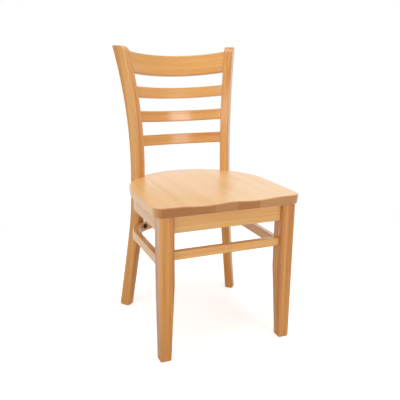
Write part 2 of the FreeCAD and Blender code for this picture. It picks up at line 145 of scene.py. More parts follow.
class RailSizes(bpy.types.PropertyGroup):
    apron_height: length("Apron height", "Height of the front apron", 0.050)
    apron_thickness: length("Apron thickness", "Thickness of the front apron", 0.020)
    apron_recess: length("Apron recess", "How far the apron stands behind the legs' front", 0.009)
    bar_top: length("Stretcher top", "Top of the front stretcher above the floor", 0.3245)
    bar_height: length("Stretcher height", "Height of the front stretcher", 0.0245)
    bar_thickness: length("Stretcher thickness", "Thickness of the front stretcher", 0.018)
    bar_recess: length("Stretcher recess", "How far the stretcher stands behind the legs' front", 0.011)
    edge: length("Edges", "Radius of the straight rails' edges", 0.002)
    seat_span: length("Seat rail span", "Outer width of the bent seat rail", 0.400)
    seat_height: length("Seat rail height", "Height of the bent seat rail", 0.0525)
    seat_thickness: length("Seat rail thickness", "Thickness of the bent seat rail", 0.020)
    seat_edge: length("Seat rail edges", "Radius of the bent seat rail's edges", 0.0015)
    hoop_span: length("Bent stretcher span", "Outer width of the bent stretcher", 0.404)
    hoop_top: length("Bent stretcher top", "Top of the bent stretcher above the floor", 0.305)
    hoop_height: length("Bent stretcher height", "Height of the bent stretcher", 0.029)
    hoop_thickness: length("Bent stretcher thickness", "Thickness of the bent stretcher", 0.019)
    hoop_edge: length("Bent stretcher edges", "Radius of the bent stretcher's edges", 0.003)


class BackSizes(bpy.types.PropertyGroup):
    lowest: length("Lowest slat", "Bottom of the lowest slat above the floor", 0.5545)
    slat_height: length("Slat height", "Height of each slat", 0.035)
    slat_thickness: length("Slat thickness", "Thickness of each slat", 0.014)
    slat_gap: length("Slat gap", "Open space between slats", 0.0425)
    slat_edge: length("Slat edges", "Radius of the slats' edges", 0.003)
    crest_height: length("Crest height", "Height of the crest rail", 0.067)
    crest_thickness: length("Crest thickness", "Thickness of the crest rail", 0.019)
    crest_gap: length("Crest gap", "Open space under the crest rail", 0.0415)
    crest_edge: length("Crest edges", "Radius of the crest's edges", 0.004)
    lower_tilt: angle("Lower tilt", "Backward tilt of the lower slat", 8.0)
    middle_tilt: angle("Middle tilt", "Backward tilt of the middle slat", 10.0)
    upper_tilt: angle("Upper tilt", "Backward tilt of the upper slat", 12.5)
    crest_tilt: angle("Crest tilt", "Backward tilt of the crest rail", 16.5)
    setback: length("Setback", "How far the rails stand behind the posts' front edges", 0.004)


class BeechFinish(bpy.types.PropertyGroup):
    pale: colour("Pale wood", "Lightest streaks of the lacquered beech", "#E4B06A")
    warm: colour("Warm wood", "Main tone of the lacquered beech", "#D08E3E")
    deep: colour("Deep wood", "Darkest streaks and growth rings", "#B5702B")
    stave: colour("Seat staves", "Lightest streaks of the seat, made of paler staves", "#EABD80")
    end: colour("End grain", "Ends of the staves, which drink more lacquer", "#A06122")
    fleck: colour("Flecks", "Ray flecks on the faces", "#96582A")
    bare: colour("Bare wood", "Unlacquered blocks under the seat", "#CFAF88")
    zinc: colour("Zinc", "Plated screws", "#C3C5C8")
    # Dark enough that the broad screws' heads make the dark spot inside the bent stretcher's bends, under the
    # seat
    blackened: colour("Blackened steel", "Broad screws of the bent stretcher", "#5E4A32")
    floor: colour("Floor", "Studio floor", "#EFEFEF")


# Shapes that every piece uses

def rounded_sections(width, height, radius):
    """Rounded rectangles, one a row, about (0, 0). Each corner is a quarter circle whose centre is
    the radius in from both sides. One more point on the flat before and after each arc keeps the
    flat side flat in smooth shading. Returns both coordinates and which points lie on an arc."""
    width, height, radius = (np.atleast_1d(value)[:, None] for value in (width, height, radius))
    quarter = np.linspace(0, np.pi / 2, corner_steps + 1)
    around = np.concatenate([[0.0], quarter, [np.pi / 2]])
    around = np.concatenate([around + corner * np.pi / 2 for corner in range(4)])
    slide = np.tile(np.concatenate([[-hold], np.zeros(corner_steps + 1), [hold]]), 4)
    side_a = np.repeat([1, -1, -1, 1], corner_steps + 3)
    side_b = np.repeat([1, 1, -1, -1], corner_steps + 3)
    a = side_a * (width / 2 - radius) + radius * np.cos(around) - slide * np.sin(around)
    b = side_b * (height / 2 - radius) + radius * np.sin(around) + slide * np.cos(around)
    return a, b, slide == 0


def carried(path, way_a, way_b, a, b):
    """Sections carried along a path: each point is the path's point plus a along one direction and
    b along the other."""
    return path[:, None] + way_a[:, None] * a[..., None] + way_b[:, None] * b[..., None]


def outward(points, quads):
    """Whether the quads face away from the middle: the sum of the signed volumes under them."""
    corners = points[quads] - points.mean(0)
    first = np.einsum("ij,ij->i", corners[:, 0], np.cross(corners[:, 1], corners[:, 2]))
    second = np.einsum("ij,ij->i", corners[:, 0], np.cross(corners[:, 2], corners[:, 3]))
    return (first + second).sum() > 0


def make_piece(node, shape, material, end=0.0):
    """Closed piece from rings of points: quads between neighbouring rings and one flat face at each
    end. The shape holds the rings, where each point lay in the straight board (along it, across it
    and through it, in metres), and an edge value that is 1 on rounded edges. end is 1 where the
    ends of the fibres show."""
    rings, *board_place, edge = shape
    count, around = rings.shape[:2]
    index = np.arange(count * around).reshape(count, around)
    beside = np.roll(index, -1, axis=1)
    quads = np.stack([index[:-1], beside[:-1], beside[1:], index[1:]], axis=-1).reshape(-1, 4)
    ends = [index[0][::-1], index[-1]]
    points = rings.reshape(-1, 3) + np.array([0.0, leg_front, floor_height])
    if not outward(points, quads):
        quads = quads[:, ::-1]
        ends = [end_face[::-1] for end_face in ends]
    mesh = bpy.data.meshes.new(node)
    mesh.from_pydata(points.tolist(), [], quads.tolist() + [end_face.tolist() for end_face in ends])
    grain = np.stack(np.broadcast_arrays(*board_place), axis=-1)
    grain = grain + board_shift * list(board_tones_and_painted_shade).index(node)
    board = mesh.attributes.new("board", "FLOAT_VECTOR", "POINT")
    board.data.foreach_set("vector", grain.reshape(-1).astype(np.float32))
    for name, values in (("edge", edge), ("end", end), ("tone", board_tones_and_painted_shade[node])):
        spread = np.broadcast_to(values, (count, around)).reshape(-1)
        mesh.attributes.new(name, "FLOAT", "POINT").data.foreach_set("value", spread.astype(np.float32))
    mesh.shade_smooth()
    mesh.set_sharp_from_angle(angle=sharp_angle)
    mesh.materials.append(material)
    piece = bpy.data.objects.new("shown_" + node, mesh)
    bpy.context.scene.collection.objects.link(piece)
    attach(piece, "root")
    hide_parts(node)


def make_pair(name, shape, material):
    """The piece on the chair's right, and its mirror image in x on the left."""
    rings, *rest = shape
    make_piece(name + "_right", shape, material)
    make_piece(name + "_left", (rings * np.array([-1.0, 1.0, 1.0]), *rest), material)


# Rear posts. s runs along the board in plan, forward to back, and n across it, outer face to inner

# Heights: where the lower bend ends, between which the board is upright, and where its splay ends
bend_low = 0.270
straight_low = 0.391
straight_high = 0.465
splay_height = 0.800

# How many rings a post has and where those at its foot lie, and how much the grain follows a bend
post_foot_lines = np.array([0.0, 1.0, 1.5, 2.0])
post_lines = 92
top_round_lines = 9
top_edge_lines = 7
grain_follow = 0.75


def plan_ways(post):
    """Directions of s and n in plan."""
    along = np.array([math.sin(post.turn), math.cos(post.turn), 0.0])
    across = np.array([-math.cos(post.turn), math.sin(post.turn), 0.0])
    return along, across


def post_rear(post, z):
    """s of the rear edge: upright by the seat, parabolas of the bends' radii above and below it, and
    a straight raked leg below the lower bend."""
    along = plan_ways(post)[0]
    upright = along @ np.array([post.half_spacing, post.setback, 0.0]) + post.seat_depth / 2
    over = np.maximum(z - straight_high, 0)
    under = np.clip(straight_low - z, 0, straight_low - bend_low)
    below = np.maximum(bend_low - z, 0)
    slope = (straight_low - bend_low) / post.leg_bend
    return upright + over ** 2 / (2 * post.back_bend) + under ** 2 / (2 * post.leg_bend) + below * slope


def post_front(post, z):
    """s of the front edge: the rear edge less a depth that grows evenly from foot to seat and from
    seat to top."""
    heights = [0.0, straight_high, post.top]
    return post_rear(post, z) - np.interp(z, heights, [post.foot_depth, post.seat_depth, post.top_depth])


def post_outer(post, z):
    """n of the outer face: splayed outward by a parabola that ends at the splay height."""
    across = plan_ways(post)[1]
    middle = across @ np.array([post.half_spacing, post.setback, 0.0])

    def splay(height):
        return post.splay * np.maximum(1 - height / splay_height, 0) ** 2
    return middle - post.thickness / 2 + splay(straight_high) - splay(z)


def post_rings(post, chamfer):
    """Rounded sections from foot to top. The foot's chamfer draws the section in; at the top the
    front edge goes back round a quarter circle and the other sides draw in round a small one. The
    rings at the foot are given in chamfers. The grain follows most of the board's bend."""
    start = post.top - post.top_round
    shoulder = post.top - post.top_edge
    turn = np.linspace(0, math.asin(1 - post.top_edge / post.top_round), top_round_lines)[1:-1]
    last = np.linspace(0, np.pi / 2, top_edge_lines)
    foot = post_foot_lines * chamfer
    z = np.concatenate([
        foot, np.linspace(foot[-1], start, post_lines)[1:],
        start + post.top_round * np.sin(turn), shoulder + post.top_edge * np.sin(last)])
    chamfered = np.maximum(chamfer - z, 0)
    softened = post.top_edge - np.sqrt(post.top_edge ** 2 - np.maximum(z - shoulder, 0) ** 2)
    rounded = post.top_round - np.sqrt(post.top_round ** 2 - np.clip(z - start, 0, post.top_round) ** 2)
    straight_front = post_front(post, np.minimum(z, start))
    front = straight_front + rounded + chamfered
    rear = post_rear(post, z) - chamfered - softened
    depth = rear - front
    thickness = post.thickness - 2 * (chamfered + softened)
    along, across = plan_ways(post)
    s = (front + rear) / 2
    n = post_outer(post, z) + post.thickness / 2
    path = s[:, None] * along + n[:, None] * across + z[:, None] * np.array([0.0, 0.0, 1.0])
    a, b, on_arc = rounded_sections(depth, thickness, np.full(len(z), post.edge))
    ones = np.ones((len(z), 1))
    rings = carried(path, ones * along, ones * across, a, b)
    follow = grain_follow * (s - s[len(s) // 2])
    return rings, z[:, None], a + s[:, None] - follow[:, None], b, on_arc


# Front legs, and where their rings lie

leg_foot_lines = np.array([0.0, 1.0, 1.5, 3.0])
leg_line_gap = 0.020
taper_hold = 0.006
taper_lines = 16
square_lines = 12


def leg_rings(leg, top):
    """Square sections set against the leg's outer front corner; below the taper height the side
    shrinks evenly down to the foot, and the chamfer draws the foot in. The rings at the foot are
    given in chamfers, and three rings hold the start of the taper."""
    z = np.concatenate([
        leg_foot_lines * leg.chamfer, np.linspace(leg_line_gap, leg.taper - taper_hold, taper_lines),
        [leg.taper, leg.taper + taper_hold], np.linspace(leg.taper + leg_line_gap, top, square_lines)])
    chamfered = np.maximum(leg.chamfer - z, 0)
    size = np.interp(z, [0.0, leg.taper, top], [leg.foot, leg.size, leg.size])
    side = size - 2 * chamfered
    a, b, on_arc = rounded_sections(side, side, np.full(len(z), leg.edge))
    path = np.stack([leg.span / 2 - size / 2, size / 2, z], axis=-1)
    ones = np.ones((len(z), 1))
    rings = carried(path, ones * np.array([1.0, 0.0, 0.0]), ones * np.array([0.0, 1.0, 0.0]), a, b)
    return rings, z[:, None], a + path[:, :1], b + path[:, 1:2], on_arc


# Straight rails between the front legs

bar_lines = 40


def bar_rings(half, front, thickness, bottom, height, radius):
    """Rounded section carried straight along x."""
    x = np.linspace(-half, half, bar_lines)
    ones = np.ones(len(x))
    a, b, on_arc = rounded_sections(thickness * ones, height * ones, radius * ones)
    path = np.stack([x, ones * (front + thickness / 2), ones * (bottom + height / 2)], axis=-1)
    ways = ones[:, None]
    rings = carried(path, ways * np.array([0.0, 1.0, 0.0]), ways * np.array([0.0, 0.0, 1.0]), a, b)
    return rings, x[:, None], b, a, on_arc


# Bent rails: from one front leg straight back, round a bend to the post and on across the back.
# How deep they are let into the posts and stand in the legs, and the distance between their rings

housing_depth = 0.002
leg_bury = 0.002
bend_step = 0.006


def bend_line(post, half_width, middle_height, front):
    """Outer line in plan, right leg to left: a straight, an arc that meets the post's front edge
    square, and a flatter arc about a point on the middle of the chair. Returns points, outward
    directions and the length along the line."""
    along, across = plan_ways(post)
    s = post_front(post, np.array([middle_height]))[0] + housing_depth
    n = post_outer(post, np.array([middle_height]))[0] + post.thickness / 2
    meet = s * along + n * across
    radius = (half_width - meet[0]) / (1 - math.sin(post.turn))
    centre = np.array([half_width - radius, meet[1] - radius * math.cos(post.turn)])
    rear_radius = meet[0] / math.sin(post.turn)
    rear_centre = np.array([0.0, meet[1] - rear_radius * math.cos(post.turn)])
    corner = math.pi / 2 - post.turn
    y = np.linspace(front, centre[1], round((centre[1] - front) / bend_step))[:-1]
    turn = np.linspace(0, corner, round(corner * radius / bend_step))[:-1]
    back = np.linspace(corner, math.pi / 2, round(post.turn * rear_radius / bend_step))
    theta = np.concatenate([np.zeros(len(y)), turn, back])
    facing = np.stack([np.cos(theta), np.sin(theta)], axis=-1)
    line = np.concatenate([
        np.stack([np.full(len(y), half_width), y], axis=-1),
        centre + radius * facing[len(y):len(y) + len(turn)],
        rear_centre + rear_radius * facing[len(y) + len(turn):]])
    mirror = np.array([-1.0, 1.0])
    line = np.concatenate([line, line[-2::-1] * mirror])
    facing = np.concatenate([facing, facing[-2::-1] * mirror])
    run = np.concatenate([[0.0], np.cumsum(np.linalg.norm(np.diff(line, axis=0), axis=1))])
    return line, facing, run


def bent_rings(post, half_width, thickness, bottom, height, radius, front):
    """Rounded section carried along the bend line, inward from it by half the thickness."""
    line, facing, run = bend_line(post, half_width, bottom + height / 2, front)
    ones = np.ones(len(line))
    a, b, on_arc = rounded_sections(thickness * ones, height * ones, radius * ones)
    middle = line - facing * thickness / 2
    path = np.column_stack([middle, ones * (bottom + height / 2)])
    inward = np.column_stack([-facing, 0 * ones])
    rings = carried(path, inward, ones[:, None] * np.array([0.0, 0.0, 1.0]), a, b)
    return rings, run[:, None], b, a, on_arc


# Slats and crest: how far they reach into the posts, and how many rings each has

slat_bury = 0.010
back_steps = 72


def back_rings(post, low, height, thickness, tilt, radius, setback):
    """Part of a ring about a point before the back: the section goes round the arc whose front face
    meets the post's inner face square, and the whole is tilted back about a level line."""
    middle = low + height / 2
    along, across = plan_ways(post)
    s = post_front(post, np.array([middle]))[0] + setback
    n = post_outer(post, np.array([middle]))[0] + post.thickness
    meet = s * along + n * across
    bow = meet[0] / math.sin(post.turn)
    reach = post.turn + slat_bury / bow
    around = np.linspace(-reach, reach, back_steps)
    ones = np.ones(back_steps)
    a, b, on_arc = rounded_sections(thickness * ones, height * ones, radius * ones)
    radial = np.stack([np.sin(around), np.cos(around), 0 * ones], axis=-1)
    path = radial * (bow + thickness / 2) - np.array([0.0, bow * math.cos(post.turn), 0.0])
    rings = carried(path, radial, ones[:, None] * np.array([0.0, 0.0, 1.0]), a, b)
    cosine, sine = math.cos(tilt), math.sin(tilt)
    tilting = np.array([[1, 0, 0], [0, cosine, -sine], [0, sine, cosine]])
    rings = rings @ tilting + np.array([0.0, meet[1], middle])
    return rings, (around * bow)[:, None], b, a, on_arc


# Seat

# The hollow and its rim, the thigh dips, and how far the rim stands above what is hollowed, all in
# metres. The edge is upright for a little below its rounding
bowl_half_width = 0.178
bowl_half_length = 0.170
bowl_rim = 0.130
dip_spacing = 0.150
dip_half_width = 0.055
dip_length = 0.190
saddle_rise = 0.0004
edge_upright = 0.001

# The middle of the seat's rings, as a share of its depth, and how far out the first ring stands
heart_share = 0.52
pole_share = 0.015

# Points round the seat's outline, and rings across its top, round its edges and under it
front_points = 54
corner_points = 12
back_points = 120
side_points = 30
top_rings = 55
edge_rings = 8
side_rings = 5
under_edge_rings = 4
under_rings = 23


def smooth_step(share):
    """0 below 0, 1 above 1, and 3t^2 - 2t^3 between."""
    share = np.clip(share, 0, 1)
    return share * share * (3 - 2 * share)


def saddle(seat, x, y):
    """Height of the top: a broad bowl inside an ellipse, whose rim eases in over the rim width,
    and two bell-shaped dips for the thighs that fade away from the front edge."""
    arc_centre = -seat.overhang + seat.depth - seat.width / 2
    away = np.hypot(x / bowl_half_width, (y - arc_centre) / bowl_half_length)
    ease = smooth_step((1 - away) * bowl_half_width / bowl_rim)
    beside = (np.abs(x) - dip_spacing / 2) / dip_half_width
    fade = 1 - smooth_step((y + seat.overhang) / dip_length)
    dips = seat.dip * np.exp(-beside * beside) * fade
    hollow = seat.bowl * ease + dips * (1 - ease)
    return np.minimum(seat.height, seat.height + saddle_rise - hollow)


def seat_outline(seat, inset):
    """Plan of the seat at distances inside its widest line, one a row: front edge, right corner
    arc, right side, half circle, left side and left corner arc, with the same number of points
    in every row."""
    inset = np.atleast_1d(inset)[:, None]
    half = seat.width / 2 - inset
    front = -seat.overhang + inset
    corner = seat.corner - inset
    arc_centre = -seat.overhang + seat.depth - seat.width / 2
    across = np.linspace(-1, 1, front_points + 2)[1:-1]
    turn = np.linspace(-np.pi / 2, 0, corner_points)
    back = np.linspace(0, np.pi, back_points)
    side = np.linspace(0, 1, side_points + 2)[1:-1]
    corner_x = half - corner + corner * np.cos(turn)
    corner_y = front + corner + corner * np.sin(turn)
    side_y = (front + corner) + (arc_centre - front - corner) * side
    full = np.ones_like(inset)
    x = np.concatenate([(half - corner) * across, corner_x, half * np.ones_like(side), half * np.cos(back),
                        -half * np.ones_like(side), -corner_x[:, ::-1]], axis=1)
    y = np.concatenate([front * np.ones_like(across), corner_y, side_y,
                        arc_centre * full + half * np.sin(back), side_y[:, ::-1],
                        corner_y[:, ::-1]], axis=1)
    return x, y


def seat_rings(seat):
    """Rings from the middle of the top out to the edge, down it and back to the middle of the
    underside. The rounded edge follows the saddled top, so the dips run out over it. The staves run
    from front to back, so the edge shows their ends as far as it faces forward or backward. Returns
    the shape and how much the ends show."""
    under = seat.height - seat.thickness
    widest = seat.height - seat.edge - edge_upright
    heart = np.array([0.0, -seat.overhang + seat.depth * heart_share])

    def lean(z):
        return seat.undercut * np.clip((widest - z) / (widest - under), 0, 1)
    rim_x, rim_y = seat_outline(seat, seat.edge)
    share = np.linspace(pole_share, 1, top_rings + 1)[:-1, None]
    top_x = heart[0] + (rim_x - heart[0]) * share
    top_y = heart[1] + (rim_y - heart[1]) * share
    parts = [np.stack([top_x, top_y, saddle(seat, top_x, top_y)], axis=-1)]
    rim_z = saddle(seat, rim_x, rim_y)
    shift = lean(rim_z - seat.edge)
    phi = np.linspace(np.pi / 2, 0, edge_rings)[:, None]
    inset = seat.edge * (1 - np.cos(phi))
    outer_x, outer_y = seat_outline(seat, inset[:, 0])
    normal_x = (seat_outline(seat, 0.0)[0] - rim_x) / seat.edge
    normal_y = (seat_outline(seat, 0.0)[1] - rim_y) / seat.edge
    rounded_z = rim_z - seat.edge * (1 - np.sin(phi))
    parts.append(np.stack([outer_x - normal_x * shift, outer_y - normal_y * shift, rounded_z], axis=-1))
    base_x, base_y = seat_outline(seat, 0.0)
    down = np.linspace(0, 1, side_rings + 1)[1:, None]
    side_z = (rim_z - seat.edge) * (1 - down) + (under + seat.under_edge) * down
    side_lean = lean(side_z)
    parts.append(np.stack([base_x - normal_x * side_lean, base_y - normal_y * side_lean, side_z], axis=-1))
    psi = np.linspace(0, np.pi / 2, under_edge_rings + 1)[1:, None]
    pulled = lean(under) + seat.under_edge * (1 - np.cos(psi))
    low_z = under + seat.under_edge * (1 - np.sin(psi)) + 0 * base_x
    parts.append(np.stack([base_x - normal_x * pulled, base_y - normal_y * pulled, low_z], axis=-1))
    last = parts[-1][-1]
    back = np.linspace(1, pole_share, under_rings + 1)[1:, None, None]
    centre = np.array([heart[0], heart[1], under])
    parts.append(centre + (last[None] - centre) * back)
    rings = np.concatenate(parts)
    edge = np.zeros(rings.shape[:2])
    first = len(parts[0])
    edge[first:first + len(phi)] = 1.0
    upright = np.concatenate([np.cos(phi[:, 0]), np.ones(len(down)), np.cos(psi[:, 0])])
    end = np.zeros(rings.shape[:2])
    end[first:first + len(upright)] = upright[:, None] * np.abs(normal_y)
    return (rings, rings[..., 1], rings[..., 0], rings[..., 2], edge), end


# Materials

def add_node(tree, kind, inputs=(), **settings):
    """A shader node with its settings. Its inputs get plain values, or links from sockets or from
    the first output of nodes."""
    made = tree.nodes.new("ShaderNode" + kind)
    for name, value in settings.items():
        setattr(made, name, value)
    for key, value in dict(inputs).items():
        if isinstance(value, bpy.types.Node):
            value = value.outputs[0]
        if isinstance(value, bpy.types.NodeSocket):
            tree.links.new(value, made.inputs[key])
        else:
            made.inputs[key].default_value = value
    return made


def new_material(name):
    material = bpy.data.materials.new(name)
    material.use_nodes = True
    material.node_tree.nodes.clear()
    return material, material.node_tree


# Noise stretched along the board: its length along and width across the board in metres, its
# layers, and how strong each finer layer is. Real beech flecks are 0.3 mm wide and 2 mm long; they
# are drawn three times as large, so that they show
grain_noises = {
    "streaks": (0.35, 0.007, 3.0, 0.55),
    "bands": (0.9, 0.030, 2.0, 0.5),
    "flecks": (0.0065, 0.0010, 1.0, 0.4),
    "wander": (0.30, 0.05, 2.0, 0.5),
}

# Growth rings in metres: their spacing, how far they wander, and how far the pith lies from the
# board's corner, across and through it. A ring shows where its sine is above the threshold
ring_spacing = 0.0026
ring_wander = 0.016
pith_away = (0.055, 0.040)
ring_threshold = 0.1

# The seat's staves in metres: their width, where the first one starts, and how far along and
# through the wood each is moved on from the last. A joint is given in shares of a stave
stave_width = 0.068
stave_start = -0.050
stave_along = 0.37
stave_through = 0.031
joint_fade = 0.010
joint_full = 0.002

# How grain turns into colour: the share of the bands, the tones where the pale and the deep wood
# begin and are full, the noise where flecks do, and how strong each mark is
band_share = 0.62
pale_from, pale_full = 0.36, 0.62
deep_from, deep_full = 0.42, 0.26
fleck_from, fleck_full = 0.60, 0.70
ring_strength = 0.16
fleck_strength = 0.22
edge_strength = 0.10
joint_strength = 0.25
stave_spread = 0.16
end_spread = 0.3

# How strongly the grain shows, 1 for bare boards, and how rough the lacquer's surface is
board_contrast = 0.75
seat_contrast = 0.65
board_gloss = 0.2
seat_gloss = 0.38

# The wood under the lacquer: roughness, how much streaks add to it, and the marks' relief
wood_roughness = 0.36
streak_roughness = 0.12
ring_relief = 0.15
fleck_relief = -0.5
relief_strength = 0.10
relief_depth = 0.0003
lacquer_ior = 1.5
wood_specular = 0.2


def stave_place(tree, place):
    """Where each point lies once every stave is moved on along and through the wood, the stave's
    number, and a value that falls to 0 at its two joints."""
    along, across, through = add_node(tree, "SeparateXYZ", {0: place}).outputs
    counted = add_node(tree, "Math", {0: across, 1: 1 / stave_width, 2: -stave_start / stave_width},
                       operation="MULTIPLY_ADD")
    number = add_node(tree, "Math", {0: counted}, operation="FLOOR")
    along = add_node(tree, "Math", {0: number, 1: stave_along, 2: along}, operation="MULTIPLY_ADD")
    through = add_node(tree, "Math", {0: number, 1: stave_through, 2: through}, operation="MULTIPLY_ADD")
    joint = add_node(tree, "Math", {0: counted, 1: 0.5}, operation="PINGPONG")
    return add_node(tree, "CombineXYZ", {0: along, 1: across, 2: through}), number, joint


def growth_rings(tree, place, wander):
    """1 in the dark of each ring: the sine of the distance to the pith, which wanders a little."""
    from_pith = add_node(tree, "VectorMath", {0: place, 1: (0.0, 1.0, 1.0), 2: (0.0, *pith_away)},
                         operation="MULTIPLY_ADD")
    distance = add_node(tree, "VectorMath", {0: from_pith}, operation="LENGTH").outputs["Value"]
    reach = add_node(tree, "Math", {0: wander, 1: ring_wander, 2: distance}, operation="MULTIPLY_ADD")
    turn = add_node(tree, "Math", {0: reach, 1: 2 * math.pi / ring_spacing}, operation="MULTIPLY")
    wave = add_node(tree, "Math", {0: turn}, operation="SINE")
    return add_node(tree, "MapRange", {0: wave, 1: ring_threshold, 2: 1.0}, interpolation_type="SMOOTHSTEP")


def lacquered_beech(name, finish, tones, contrast=board_contrast, gloss=board_gloss, staves=False):
    """Beech, sanded and sprayed with clear satin lacquer: a warm, even, straight-grained wood with
    faint growth rings and small dark flecks under a smooth film that reflects its surroundings.
    tones are its pale, middle and deep colours. Glued up from staves, each one has its own grain
    and shade, with a thin dark line at the joints."""
    material, tree = new_material(name)
    place = add_node(tree, "Attribute", attribute_name="board").outputs["Vector"]
    edge, end, shade = (add_node(tree, "Attribute", attribute_name=key).outputs["Fac"]
                        for key in ("edge", "end", "tone"))
    if staves:
        place, number, joint = stave_place(tree, place)
    noises = {}
    for key, (length_along, width_across, layers, finer) in grain_noises.items():
        scale = (1 / length_along, 1 / width_across, 1 / width_across)
        at = add_node(tree, "Mapping", {0: place, 3: scale})
        inputs = {"Vector": at, "Scale": 1.0, "Detail": layers, "Roughness": finer}
        noises[key] = add_node(tree, "TexNoise", inputs)
    rings = growth_rings(tree, place, noises["wander"])
    streaks = add_node(tree, "Math", {0: noises["streaks"], 1: 1 - band_share}, operation="MULTIPLY")
    grain = add_node(tree, "Math", {0: noises["bands"], 1: band_share, 2: streaks}, operation="MULTIPLY_ADD")
    grain = add_node(tree, "Math", {0: grain, 1: contrast, 2: (1 - contrast) / 2}, operation="MULTIPLY_ADD")
    # The board's shade is added to its grain here; for the front legs it is partly painted shade, for the
    # weaker light low down
    tone = add_node(tree, "Math", {0: grain, 1: shade}, operation="ADD")
    if staves:
        noise = add_node(tree, "TexWhiteNoise", {"W": number}, noise_dimensions="1D")
        tone = add_node(tree, "Math", {0: tone, 1: stave_spread / 2}, operation="SUBTRACT")
        tone = add_node(tree, "Math", {0: noise, 1: stave_spread, 2: tone}, operation="MULTIPLY_ADD")
        soaked = add_node(tree, "Math", {0: noise, 1: -end_spread, 2: 1.0}, operation="MULTIPLY_ADD")
        end = add_node(tree, "Math", {0: end, 1: soaked}, operation="MULTIPLY")
    pale, warm, deep, fleck, end_grain = ((*tint, 1.0) for tint in (*tones, finish.fleck, finish.end))
    ramps = [(tone, pale_from, pale_full), (tone, deep_from, deep_full),
             (noises["flecks"], fleck_from, fleck_full)]
    if staves:
        ramps.append((joint, joint_fade, joint_full))
    pale_share, deep_share, spots, *joint_line = (
        add_node(tree, "MapRange", {0: value, 1: start, 2: full}, interpolation_type="SMOOTHSTEP")
        for value, start, full in ramps)
    marks = [(pale_share, 1.0, pale), (deep_share, 1.0, deep), (rings, ring_strength * contrast, deep),
             (spots, fleck_strength * contrast, fleck), (edge, edge_strength, deep), (end, 1.0, end_grain)]
    marks += [(line, joint_strength, fleck) for line in joint_line]
    wood = warm
    for share, strength, tint in marks:
        amount = add_node(tree, "Math", {0: share, 1: strength}, operation="MULTIPLY")
        wood = add_node(tree, "Mix", {0: amount, 6: wood, 7: tint}, data_type="RGBA").outputs[2]
    rough = add_node(tree, "Math", {0: noises["streaks"], 1: streak_roughness, 2: wood_roughness},
                     operation="MULTIPLY_ADD")
    height = add_node(tree, "Math", {0: rings, 1: ring_relief}, operation="MULTIPLY")
    height = add_node(tree, "Math", {0: spots, 1: fleck_relief, 2: height}, operation="MULTIPLY_ADD")
    relief = add_node(tree, "Bump", {"Height": height, "Strength": relief_strength, "Distance": relief_depth})
    shader = add_node(tree, "BsdfPrincipled", {
        "Base Color": wood, "Roughness": rough, "Normal": relief, "IOR": lacquer_ior,
        "Specular IOR Level": wood_specular, "Coat Weight": 1.0, "Coat Roughness": gloss,
        "Coat IOR": lacquer_ior})
    add_node(tree, "OutputMaterial", {0: shader})
    return material


def wood_of(scene, name):
    """The named lacquered wood of the boards, made once."""
    finish = scene.chair_finish
    tones = (finish.pale, finish.warm, finish.deep)
    return bpy.data.materials.get(name) or lacquered_beech(name, finish, tones)


# The hidden blocks: length and width of the grain in metres, the noise at which it is bare and at
# which it is warm, and its roughness and relief
block_grain_length = 0.25
block_grain_width = 0.0045
block_bare, block_warm = 0.3, 0.7
block_roughness = 0.6
block_grain_roughness = 0.15
block_relief = 0.2


def bare_beech(name, finish):
    """Planed beech without lacquer, for the hidden blocks: pale and dull, with straight grain."""
    material, tree = new_material(name)
    place = add_node(tree, "TexCoord").outputs["Object"]
    scale = (1 / block_grain_length, 1 / block_grain_width, 1 / block_grain_width)
    at = add_node(tree, "Mapping", {0: place, 3: scale})
    grain = add_node(tree, "TexNoise", {"Vector": at, "Scale": 1.0, "Detail": 3.0})
    share = add_node(tree, "MapRange", {0: grain, 1: block_bare, 2: block_warm},
                     interpolation_type="SMOOTHSTEP")
    wood = add_node(tree, "Mix", {0: share, 6: (*finish.bare, 1.0), 7: (*finish.warm, 1.0)}, data_type="RGBA")
    rough = add_node(tree, "Math", {0: grain, 1: block_grain_roughness, 2: block_roughness},
                     operation="MULTIPLY_ADD")
    relief = add_node(tree, "Bump", {"Height": grain, "Strength": block_relief, "Distance": relief_depth})
    shader = add_node(tree, "BsdfPrincipled", {
        "Base Color": wood.outputs[2], "Roughness": rough, "Normal": relief, "IOR": lacquer_ior})
    add_node(tree, "OutputMaterial", {0: shader})
    return material


# The screws: size of the finish's clouds in metres, how bright their dark parts are, and roughness
zinc_cloud = 0.0011
zinc_shadow = 0.6
zinc_roughness = 0.25
black_cloud = 0.002
black_shadow = 0.5
black_roughness = 0.5
cloud_roughness = 0.2


def clouded_steel(name, tint, cloud, shadow, roughness):
    """Metal whose colour and roughness vary together in small soft clouds."""
    material, tree = new_material(name)
    place = add_node(tree, "TexCoord").outputs["Object"]
    clouds = add_node(tree, "TexNoise", {"Vector": place, "Scale": 1 / cloud, "Detail": 2.0})
    dark = [shadow * channel for channel in tint] + [1.0]
    metal = add_node(tree, "Mix", {0: clouds, 6: dark, 7: (*tint, 1.0)}, data_type="RGBA").outputs[2]
    rough = add_node(tree, "Math", {0: clouds, 1: cloud_roughness, 2: roughness}, operation="MULTIPLY_ADD")
    shader = add_node(tree, "BsdfPrincipled", {"Base Color": metal, "Roughness": rough, "Metallic": 1.0})
    add_node(tree, "OutputMaterial", {0: shader})
    return material


def zinc_plate(finish):
    """Steel screws with bright zinc plating: a cloudy, slightly uneven grey shine."""
    return clouded_steel("zinc-plated steel", finish.zinc, zinc_cloud, zinc_shadow, zinc_roughness)


def blackened_steel(finish):
    """Steel screws, dark brown and dull, with a faint cloudiness. Their heads make the dark spot on the inner
    face of the bent stretcher's bends, under the seat.
    """
    return clouded_steel("blackened steel", finish.blackened, black_cloud, black_shadow, black_roughness)


# Operators: one for each group of like pieces, and one for the stage

